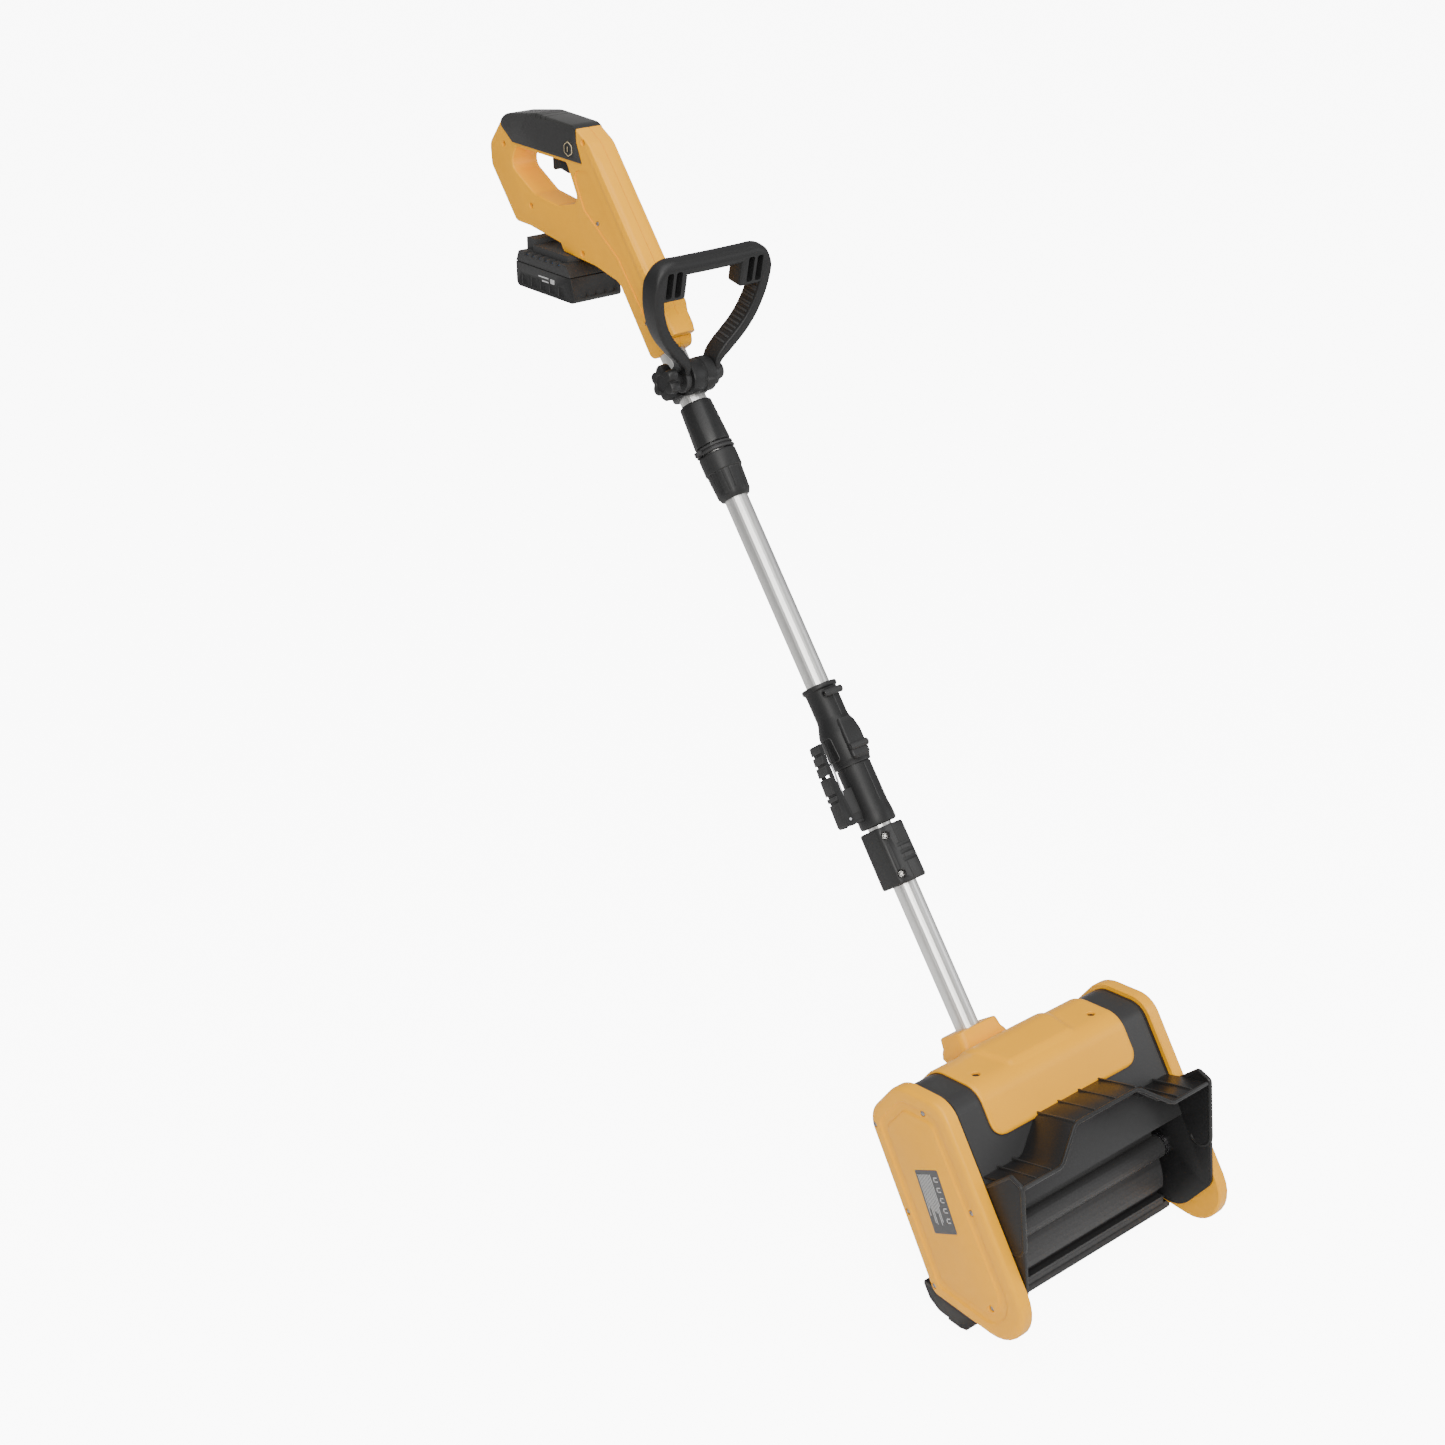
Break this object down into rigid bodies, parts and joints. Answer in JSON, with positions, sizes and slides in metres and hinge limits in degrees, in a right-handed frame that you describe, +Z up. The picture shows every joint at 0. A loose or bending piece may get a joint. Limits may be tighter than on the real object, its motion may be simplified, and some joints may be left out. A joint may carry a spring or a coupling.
{
  "type": "cordless snow shovel",
  "caption": "Battery snow shovel: a paddle rotor in a hooded head, on a telescopic latched pole with a tilting loop handle and a rear grip.",
  "frame": {"origin": "centre of the scraper bar's sole, where the shovel rests on the ground in its working pose", "axes": "+X to the operator's right, across the clearing width; +Y back along the ground towards the operator; +Z up. The pole leans back in the YZ plane."},
  "size_m": [0.336, 1.1075, 1.1318],
  "materials": {
    "yellow_shell": "semi-gloss moulded plastic",
    "black_shell": "fine-textured moulded plastic",
    "soft_grip": "matte soft overmould",
    "aluminium_tube": "satin anodised",
    "steel_parts": "machined",
    "copper_cable": "sheathed electrical parts",
    "belt_rubber": "matte"
  },
  "bodies": {
    "head": {"rotor_housing": "black_shell", "top_cover": "yellow_shell", "left_side_cover": "yellow_shell", "right_side_cover": "yellow_shell", "left_cheek_plate": "black_shell", "right_cheek_plate": "black_shell", "hood": "black_shell", "scraper_bar": "black_shell", "left_bearing": "steel_parts", "right_bearing": "steel_parts", "drive_motor": "steel_parts", "drive_belt": "belt_rubber", "lower_tube": "aluminium_tube", "lower_cable": "copper_cable", "pole_collar_left": "black_shell", "pole_collar_right": "black_shell", "coupling_barrel": "black_shell", "connector_plug": "black_shell"},
    "rotor": {"rotor_core": "black_shell", "rotor_paddle_a": "belt_rubber", "rotor_paddle_b": "belt_rubber", "rotor_shaft": "steel_parts", "rotor_pulley": "steel_parts"},
    "motor_spindle": {"motor_pulley": "steel_parts"},
    "latch": {"latch_lever": "black_shell", "latch_pin": "steel_parts", "latch_hook": "steel_parts"},
    "middle_pole": {"coupling_socket_left": "black_shell", "coupling_socket_right": "black_shell", "connector_socket": "black_shell", "main_tube": "aluminium_tube", "upper_cable": "copper_cable"},
    "rear_section": {"outer_tube": "aluminium_tube", "lock_sleeve": "black_shell", "lock_flange": "black_shell", "lock_collet": "black_shell", "clamp_front": "black_shell", "clamp_rear": "black_shell", "handle_shell_left": "yellow_shell", "handle_shell_right": "yellow_shell", "grip_skin": "soft_grip", "switch_module": "black_shell", "control_board": "copper_cable", "battery_mount": "black_shell"},
    "collar": {"twist_collar": "black_shell"},
    "loop": {"loop_handle": "black_shell", "clamp_cap": "black_shell"},
    "knob": {"clamp_knob": "black_shell", "clamp_bolt": "steel_parts"},
    "trigger_body": {"trigger": "black_shell"},
    "lock_off": {"lock_off_button": "black_shell"},
    "battery": {"battery_lower_case": "black_shell", "battery_upper_case": "black_shell", "cell_block": "copper_cable"},
    "release": {"battery_release": "soft_grip"}
  },
  "joints": [
    {"name": "rotor_spin", "type": "hinge", "parent": "head", "child": "rotor", "pos_m": [0, -0.015, 0.102], "axis": [1, 0, 0], "continuous": true},
    {"name": "motor_spin", "type": "hinge", "parent": "head", "child": "motor_spindle", "pos_m": [0, 0.069, 0.211], "axis": [1, 0, 0], "continuous": true},
    {"name": "latch_swing", "type": "hinge", "parent": "head", "child": "latch", "pos_m": [-0.04, 0.31772, 0.44311], "axis": [0, -0.7832, 0.6218], "range_deg": [0, 90]},
    {"name": "coupling_pull", "type": "slide", "parent": "head", "child": "middle_pole", "axis": [0, 0.6218, 0.7832], "range_m": [0, 0.06]},
    {"name": "telescope", "type": "slide", "parent": "middle_pole", "child": "rear_section", "axis": [0, 0.6218, 0.7832], "range_m": [-0.175, 0.06]},
    {"name": "collar_turn", "type": "hinge", "parent": "rear_section", "child": "collar", "pos_m": [0, 0.57454, 0.76655], "axis": [0, 0.6218, 0.7832], "range_deg": [0, 90]},
    {"name": "loop_tilt", "type": "hinge", "parent": "rear_section", "child": "loop", "pos_m": [0, 0.63278, 0.87609], "axis": [1, 0, 0], "range_deg": [-25, 60]},
    {"name": "knob_turn", "type": "hinge", "parent": "rear_section", "child": "knob", "pos_m": [0, 0.63278, 0.87609], "axis": [1, 0, 0], "range_deg": [0, 720]},
    {"name": "trigger_pull", "type": "slide", "parent": "rear_section", "child": "trigger_body", "axis": [0, 0, 1], "range_m": [0, 0.006], "stiffness_N_per_m": 1000, "springref_m": -0.003},
    {"name": "lock_off_press", "type": "slide", "parent": "rear_section", "child": "lock_off", "axis": [1, 0, 0], "range_m": [0, 0.0025], "stiffness_N_per_m": 1000, "springref_m": -0.002},
    {"name": "battery_slide", "type": "slide", "parent": "rear_section", "child": "battery", "axis": [0, 1, 0], "range_m": [0, 0.1]},
    {"name": "release_press", "type": "slide", "parent": "battery", "child": "release", "axis": [0, -1, 0], "range_m": [0, 0.0025], "stiffness_N_per_m": 1000, "springref_m": -0.002}
  ],
  "couplings": [
    {"joint": "motor_spin", "follows": "rotor_spin", "ratio": 3}
  ]
}
